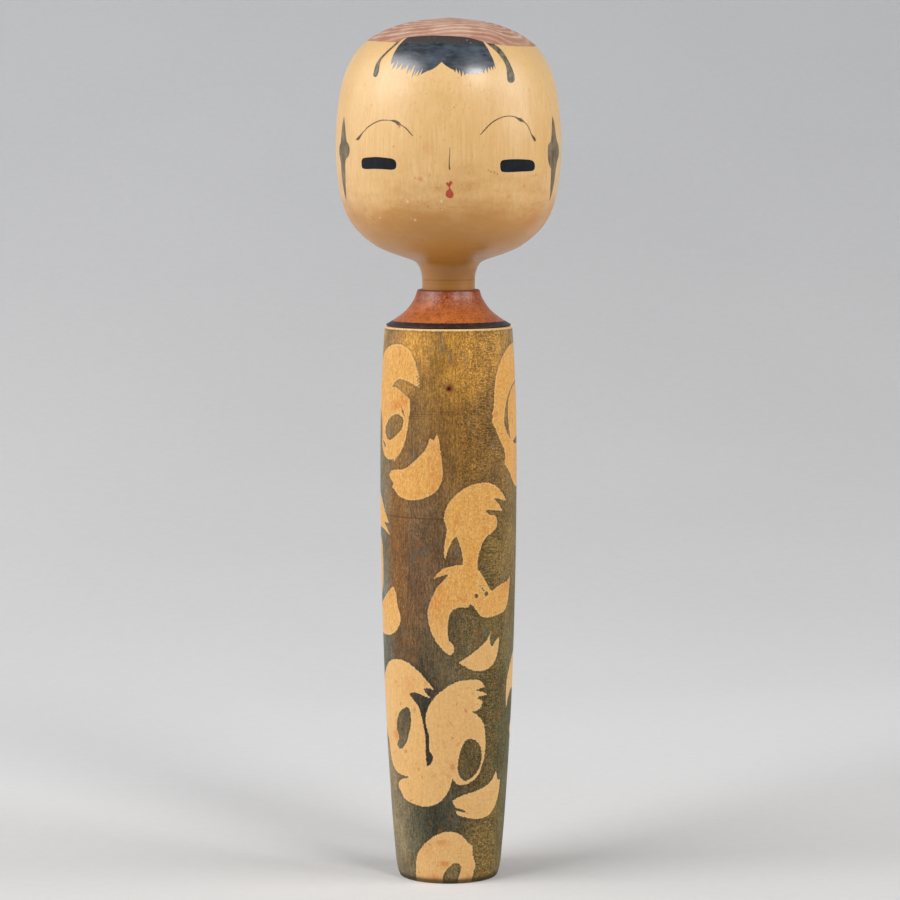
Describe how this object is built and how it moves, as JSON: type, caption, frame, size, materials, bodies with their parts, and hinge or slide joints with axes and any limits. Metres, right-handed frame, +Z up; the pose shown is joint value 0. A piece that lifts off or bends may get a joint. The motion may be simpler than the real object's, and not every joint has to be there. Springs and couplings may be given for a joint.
{
  "type": "kokeshi doll",
  "caption": "Turned wooden doll with a rounded barrel head on a thin neck, a flared collar and a slim tapering body; the head turns on a tenon in the body.",
  "frame": {"origin": "middle of the base, on the surface that the doll stands on", "axes": "+Z up along the turning axis of all three pieces; the face looks along -Y; +X is to the right of a person who faces the doll"},
  "size_m": [0.079, 0.079, 0.303],
  "materials": {
    "pale_wood": "satin",
    "red_wood": "satin",
    "dark_wood": "satin",
    "hair_paint": "gloss",
    "crown_paint": "satin",
    "face_ink": "satin",
    "lip_paint": "satin"
  },
  "bodies": {
    "doll_body": {"body": "dark_wood", "collar": "red_wood"},
    "doll_head": {"head": "pale_wood"}
  },
  "joints": [
    {"name": "head_turn", "type": "hinge", "parent": "doll_body", "child": "doll_head", "pos_m": [0, 0, 0.2], "axis": [0, 0, 1], "continuous": true}
  ]
}
